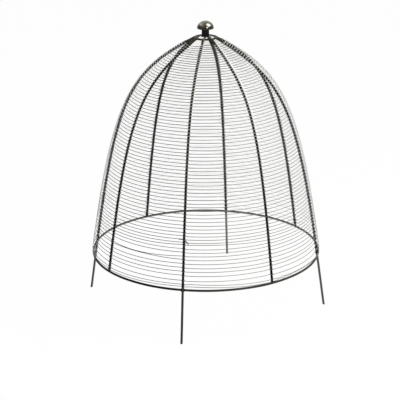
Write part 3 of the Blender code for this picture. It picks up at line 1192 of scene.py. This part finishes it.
@dataclass(frozen=True)
class Bead:
    """Filler metal where a rod is butted on a ring, climbing both, with their thicknesses.

    The climb is up the rod, above the ring, the reach is half the bead's length along the
    ring, and the bulge is how far its middle stands out.
    """

    rod: float
    ring: float
    climb: float
    reach: float
    bulge: float

    AROUND = 32
    ALONG = 7
    WRAP = math.radians(86)
    SINK = 0.95
    RIPPLES = 9
    RIPPLE_SHARE = 0.22
    RIPPLE_LEAN = 5

    def mesh(self, name: str) -> Mesh:
        """Make the closed bead round a rod that leaves a ring upwards; the ring runs along X.

        Args:
            name: Name of the mesh.

        Returns:
            The mesh.
        """
        bm = bmesh.new()
        loops = [
            [bm.verts.new(self.point(row / self.ALONG, step)) for step in range(self.AROUND)]
            for row in range(self.ALONG + 1)
        ]
        for lower, upper in zip(loops, loops[1:]):
            for step in range(self.AROUND):
                after = (step + 1) % self.AROUND
                bm.faces.new((lower[step], upper[step], upper[after], lower[after]))
        bm.faces.new(reversed(loops[0]))
        bm.faces.new(loops[-1])
        bmesh.ops.recalc_face_normals(bm, faces=bm.faces)
        return keep(bm, name)

    def point(self, share: float, step: int) -> Vector:
        """Find a point of the bead's surface.

        Args:
            share: 0 on the rod and 1 on the ring.
            step: Place round the rod.

        Returns:
            The point.
        """
        angle = math.tau * step / self.AROUND
        aim = Vector((math.cos(angle), math.sin(angle), 0.0))
        wrap = self.WRAP * math.sin(angle)
        inner = self.ring / 2 * self.SINK
        on_rod = aim * self.rod / 2 * self.SINK + Vector((0, 0, self.ring / 2 + self.climb))
        on_ring = Vector((self.reach * aim.x, inner * math.sin(wrap), inner * math.cos(wrap)))
        ripple = 1 + self.RIPPLE_SHARE * math.cos(self.RIPPLES * angle + self.RIPPLE_LEAN * share)
        middle = (on_rod + on_ring) / 2 + aim * self.bulge * ripple * 2
        rest = 1 - share
        return on_rod * rest**2 + middle * 2 * rest * share + on_ring * share**2


@dataclass(frozen=True)
class JointRow:
    """A row of like joints round one ring, under the name of its piece.

    The first joint is numbered from the front, the places are those of the whole ring, and
    the tilt is the angle by which the rod leaves the upright, turned about the ring.
    """

    name: str
    first: int
    count: int
    places: int
    bead: Bead
    radius: float
    level: float
    tilt: float
    finish: Finish
    slot: Slot


@dataclass(frozen=True)
class Joints:
    """Welds of the base ring and brazes of the crown ring.

    Each kind of joint has the climb, reach and bulge of its bead here.
    """

    sizes: Measures
    rib_weld: tuple[float, ...] = (1.7 * MILLIMETRE, 3.4 * MILLIMETRE, 0.2 * MILLIMETRE)
    leg_weld: tuple[float, ...] = (1.5 * MILLIMETRE, 3.3 * MILLIMETRE, 0.2 * MILLIMETRE)
    rib_braze: tuple[float, ...] = (2.2 * MILLIMETRE, 3.8 * MILLIMETRE, 0.30 * MILLIMETRE)
    bar_braze: tuple[float, ...] = (1.6 * MILLIMETRE, 3.0 * MILLIMETRE, 0.30 * MILLIMETRE)
    size_variation: float = 0.10
    lump_height: float = 1.1 * MILLIMETRE
    lump_size: float = 1.6 * MILLIMETRE
    crease: float = math.radians(75)

    LUMP_DETAIL = 2.0

    def build(self) -> None:
        """Set every row of joints."""
        tree = self.setter()
        for number, row in enumerate(self.rows()):
            pattern = put_in_scene("bead_pattern", row.bead.mesh("bead_pattern"))
            piece = put_in_scene(row.name, bpy.data.meshes.new(row.name))
            own = {"bead": pattern, "seed": number, "finish": row.finish.build()}
            tree.grow(piece, vars(self) | vars(row) | own, self.crease)
            shape = pattern.data
            bpy.data.objects.remove(pattern)
            bpy.data.meshes.remove(shape)
            fit(piece, row.slot)

    def rows(self) -> list[JointRow]:
        """List the rows of joints.

        Returns:
            One entry for each row.
        """
        sizes = self.sizes
        ribs, legs, upright = len(RIB_NAMES), len(LEG_NAMES), math.pi / 2
        base = (sizes.ring_radius, sizes.ring_level)
        crown = (sizes.crown_radius, sizes.crown_level)
        foot = (Bead(sizes.rib_rod, sizes.ring_rod, *self.rib_weld), *base, -sizes.splay)
        leg = (Bead(sizes.leg_rod, sizes.ring_rod, *self.leg_weld), *base, math.pi - sizes.splay)
        head_bead = Bead(sizes.rib_rod, sizes.crown_rod, *self.rib_braze)
        head = (head_bead, *crown, upright + RibLine.CROWN_DIP)
        bar = (Bead(sizes.bar_rod, sizes.crown_rod, *self.bar_braze), *crown, -upright)
        # The front joints take the braze that is painted lighter as a highlight.
        lighter, sooted = (FRONT_HIGHLIT_BRAZE, Slot.BAR), (SOOTED_BRAZE, Slot.BAR)
        return [
            JointRow("rib_foot_welds", 0, ribs, ribs, *foot, WELD_METAL, Slot.RING),
            JointRow("leg_welds", 0, legs, legs, *leg, WELD_METAL, Slot.LEG),
            JointRow("front_rib_braze", 0, 1, ribs, *head, *lighter),
            JointRow("rib_head_brazes", 1, ribs - 1, ribs, *head, *sooted),
            JointRow("front_bar_braze", 0, 1, 2, *bar, *lighter),
            JointRow("back_bar_braze", 1, 1, 2, *bar, *sooted),
        ]

    def setter(self) -> Grower:
        """Tree that sets beads round a ring, each a little different in size and surface.

        Returns:
            The tree's grower.
        """
        tree = Grower("Beads round a ring", {
            Kind.LENGTH: ("radius", "level", "tilt", "size_variation", "lump_height", "lump_size"),
            Kind.COUNT: ("count", "first", "places", "seed"),
            Kind.OBJECT: ("bead",), Kind.MATERIAL: ("finish",),
        })
        add, given = tree.add, tree.given
        index = add(Use.INDEX)
        share = add(Use.DIVIDE, add(Use.ADD, index, given["first"]), given["places"])
        angle = add(Use.MULTIPLY, share, math.tau)
        front = add(Use.COMBINE, 0.0, add(Use.MULTIPLY, given["radius"], -1.0), given["level"])
        points = add(Use.PLACE, add(Use.ROW, given["count"]), add(Use.TURN, front, angle))
        facing = add(Use.ROTATION, add(Use.COMBINE, given["tilt"], 0.0, angle))
        sizes = [add(use, 1.0, given["size_variation"]) for use in (Use.SUBTRACT, Use.ADD)]
        scale = add(Use.RANDOM_VECTOR, *sizes, index, given["seed"])
        beads = add(Use.SET_ROUND, points, add(Use.PATTERN, given["bead"]), facing, scale)
        per_metre = add(Use.DIVIDE, 1.0, given["lump_size"])
        lumps = add(Use.NOISE, add(Use.POSITION), given["seed"], per_metre, self.LUMP_DETAIL)
        height = add(Use.MULTIPLY, add(Use.SUBTRACT, lumps, 0.5), given["lump_height"])
        lifted = add(Use.SCALE, add(Use.NORMAL), height)
        return tree.close(add(Use.SHIFT, add(Use.REALIZE, beads), lifted))


@dataclass(frozen=True)
class Knob:
    """The mushroom knob: a domed cap on a waisted post that stands on the bar.

    The cap's dish is a little wider than the waist. The post ends above the rim by a share
    of the dish's depth, and its upper flare starts below the rim by a share of the foot.
    """

    sizes: Measures
    steps: int = 96
    dome_steps: int = 28
    corner_steps: int = 5
    rim_height: float = 1.6 * MILLIMETRE
    rim_round: float = 0.7 * MILLIMETRE
    rim_wall: float = 2.2 * MILLIMETRE
    dish_depth: float = 1.5 * MILLIMETRE
    waist: float = 7.1 * MILLIMETRE
    foot_length: float = 3.0 * MILLIMETRE
    flare_steps: int = 8
    unevenness: float = 0.12 * MILLIMETRE
    lump_size: float = 5 * MILLIMETRE
    crease: float = math.radians(40)

    DISH_SHARE = 1.05
    TOP_SHARE = 1.2
    FLARE_SHARE = 0.6
    MERGED = 0.01 * MILLIMETRE

    def build(self) -> None:
        """Turn the cap and the post and fit them in place of their solids."""
        for node, profile, finish, slot in (
            ("knob_cap", self.cap_profile(), ANTIQUE_PEWTER, Slot.CAP),
            ("knob_neck", self.neck_profile(), BURNT_IRON, Slot.NECK),
        ):
            fit(self.turned(f"{node}_turned", profile, finish), slot, node)

    def cap_profile(self) -> Profile:
        """Half section of the cap, from the middle of its top to the middle of its dish.

        Returns:
            Points as (radius, level).
        """
        low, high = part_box("knob_cap")
        outer, dome_foot, bend = high.x, low.z + self.rim_height, self.rim_round
        dome, dish = high.z - dome_foot, low.z + self.dish_depth
        domed, rounded = (
            [math.pi / 2 * step / steps for step in range(steps + 1)]
            for steps in (self.dome_steps, self.corner_steps)
        )
        return [
            *((outer * math.sin(angle), dome_foot + dome * math.cos(angle)) for angle in domed),
            *((outer - bend + bend * math.cos(angle), low.z + bend - bend * math.sin(angle))
              for angle in rounded),
            (outer - self.rim_wall, low.z), (self.waist * self.DISH_SHARE, dish), (0.0, dish),
        ]

    def neck_profile(self) -> Profile:
        """Half section of the post, from the middle of its top to the middle of its foot.

        Returns:
            Points as (radius, level).
        """
        low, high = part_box("knob_neck")
        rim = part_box("knob_cap")[0].z
        top = rim + self.dish_depth * self.TOP_SHARE
        head = top - rim + self.foot_length * self.FLARE_SHARE
        waist, flare = self.waist, high.x - self.waist
        shares = [step / self.flare_steps for step in range(self.flare_steps + 1)]
        return [
            (0.0, top),
            *((waist + flare * (1 - share) ** 2, top - head * share) for share in shares),
            *((waist + flare * share**2, low.z + self.foot_length * (1 - share))
              for share in shares),
            (0.0, low.z),
        ]

    def turned(self, name: str, profile: Profile, finish: Finish) -> Object:
        """Turn a half section about the axis into a closed piece.

        Args:
            name: Name of the piece.
            profile: Points as (radius, level), from top to bottom.
            finish: Surface of the piece.

        Returns:
            The piece, at the origin.
        """
        bm = bmesh.new()
        corners = [bm.verts.new((radius, 0.0, level)) for radius, level in profile]
        edges = [bm.edges.new(pair) for pair in zip(corners, corners[1:])]
        bmesh.ops.spin(
            bm, geom=corners + edges, cent=(0, 0, 0), axis=(0, 0, 1), angle=math.tau,
            steps=self.steps, use_merge=True,
        )
        bmesh.ops.remove_doubles(bm, verts=bm.verts, dist=self.MERGED)
        bmesh.ops.recalc_face_normals(bm, faces=bm.faces)
        low, high = profile[-1][1], profile[0][1]
        for vertex in bm.verts:
            if low < vertex.co.z < high:
                lump = noise.noise(vertex.co / self.lump_size)
                vertex.co -= vertex.normal * self.unevenness * (0.5 + 0.5 * lump)
        mesh = keep(bm, name)
        mesh.materials.append(finish.build())
        mesh.shade_smooth()
        mesh.set_sharp_from_angle(angle=self.crease)
        return put_in_scene(name, mesh)


@dataclass(frozen=True)
class Lamp:
    """A soft box, with its place, the length of its side and its light in watts."""

    name: str
    place: tuple[float, float, float]
    side: float
    power: float


@dataclass(frozen=True)
class Studio:
    """White floor and surround, soft lamps and the camera at the photograph's place.

    The surround is white behind and above the object. What shines shows that, and the dimmer
    room at the sides and behind the camera.
    """

    floor_side: float = 40.0
    floor_tone: str = "#f4f4f3"
    floor_lift: float = 0.97
    paper_edge: tuple[float, float] = (-0.9, -0.1)
    backdrop_edge: tuple[float, float] = (0.3, 0.7)
    ceiling_edge: tuple[float, float] = (0.2, 0.8)
    surround_level: float = 0.46
    room_level: float = 0.22
    ceiling_level: float = 0.6
    target: tuple[float, float, float] = (0.0, 0.0, 0.28)
    lamps: tuple[Lamp, ...] = (
        Lamp("overhead_box", (1.35, -0.1, 2.4), 1.8, 37.0),
        Lamp("front_box", (1.41, -1.94, 1.53), 0.8, 26.0),
        Lamp("side_box", (-1.3, 0.2, 2.3), 1.6, 3.0),
    )
    lens_mm: float = 136.3
    camera_distance: float = 2.7565
    camera_height: float = 1.1556
    azimuth: float = math.radians(11.12)
    aside: float = math.radians(0.23)
    pitch: float = math.radians(19.145)
    roll: float = math.radians(-0.2)

    def build(self) -> None:
        """Set the floor, the surround, the lamps and the camera."""
        self.floor()
        self.surround()
        for lamp in self.lamps:
            self.hang(lamp)
        self.camera()
        bpy.context.scene.view_settings.view_transform = "Standard"

    def floor(self) -> None:
        """Lay seamless white paper that keeps the shadow."""
        half = self.floor_side / 2
        mesh = bpy.data.meshes.new("floor")
        corners = [(-half, -half, 0), (half, -half, 0), (half, half, 0), (-half, half, 0)]
        mesh.from_pydata(corners, [], [(0, 1, 2, 3)])
        material = bpy.data.materials.new("seamless white paper")
        add = empty_tree(material)
        rays = add(Use.RAYS).node.outputs
        back = add(Use.SPLIT, add(Use.ON_OBJECT)).node.outputs[1]
        mirrored = add(Use.RANGE, back, *self.paper_edge, self.room_level, 1.0)
        shining = add(Use.MULTIPLY, rays["Is Glossy Ray"], mirrored)
        direct = add(Use.MAXIMUM, rays["Is Camera Ray"], shining)
        seen = add(Use.MAXIMUM, direct, rays["Is Transmission Ray"])
        lift = add(Use.MULTIPLY, seen, self.floor_lift)
        paper = add(Use.MATT, srgb(self.floor_tone))
        add(Use.SURFACE, add(Use.BOTH, lift, paper, add(Use.GLOW, srgb(WHITE), 1.0)))
        mesh.materials.append(material)
        put_in_scene("floor", mesh)

    def surround(self) -> None:
        """Make the world white where the camera sees it and a plain level where it lights."""
        world = bpy.data.worlds.new("white studio")
        bpy.context.scene.world = world
        add = empty_tree(world)
        rays = add(Use.RAYS).node.outputs
        clear = add(Use.MAXIMUM, rays["Is Camera Ray"], rays["Is Transmission Ray"])
        _right, back, up = add(Use.SPLIT, add(Use.HEADING)).node.outputs
        backdrop = add(Use.SOFT_RANGE, back, *self.backdrop_edge, self.room_level, 1.0)
        ceiling = add(Use.SOFT_RANGE, up, *self.ceiling_edge, self.room_level, self.ceiling_level)
        room = add(Use.MAXIMUM, backdrop, ceiling)
        lighting = add(Use.BLEND, rays["Is Glossy Ray"], self.surround_level, room)
        level = add(Use.BLEND, clear, lighting, 1.0)
        add(Use.SURROUND, add(Use.SKY, srgb(WHITE), level))

    def hang(self, lamp: Lamp) -> None:
        """Hang a lamp and aim it at the middle of the dome.

        Args:
            lamp: The lamp.
        """
        data = bpy.data.lights.new(lamp.name, "AREA")
        data.shape, data.size, data.energy = "SQUARE", lamp.side, lamp.power
        place = Vector(lamp.place)
        aim = (Vector(self.target) - place).to_track_quat("-Z", "Y").to_matrix().to_4x4()
        put_in_scene(lamp.name, data).matrix_world = Matrix.Translation(place) @ aim

    def camera(self) -> None:
        """Stand the camera where the photograph was taken from."""
        data = bpy.data.cameras.new("camera")
        data.lens = self.lens_mm
        item = put_in_scene("camera", data)
        place = turn(Vector((0.0, -self.camera_distance, self.camera_height)), self.azimuth)
        heading = Matrix.Rotation(self.azimuth + self.aside, 4, "Z")
        down = Matrix.Rotation(math.pi / 2 - self.pitch, 4, "X")
        tilt = Matrix.Rotation(self.roll, 4, "Z")
        item.matrix_world = Matrix.Translation(place) @ heading @ down @ tilt
        bpy.context.scene.camera = item


def main() -> None:
    """Build the object and the studio, in order."""
    logging.basicConfig(level=logging.INFO, format="%(name)s: %(message)s")
    sizes = Measures.from_frame()
    line = RibLine(sizes)
    for part in (Studio(), RodWork(sizes, line), InfillWire(sizes, line), Joints(sizes), Knob(sizes)):
        LOG.info("making %s", type(part).__name__)
        part.build()


if __name__ == "__main__":
    main()
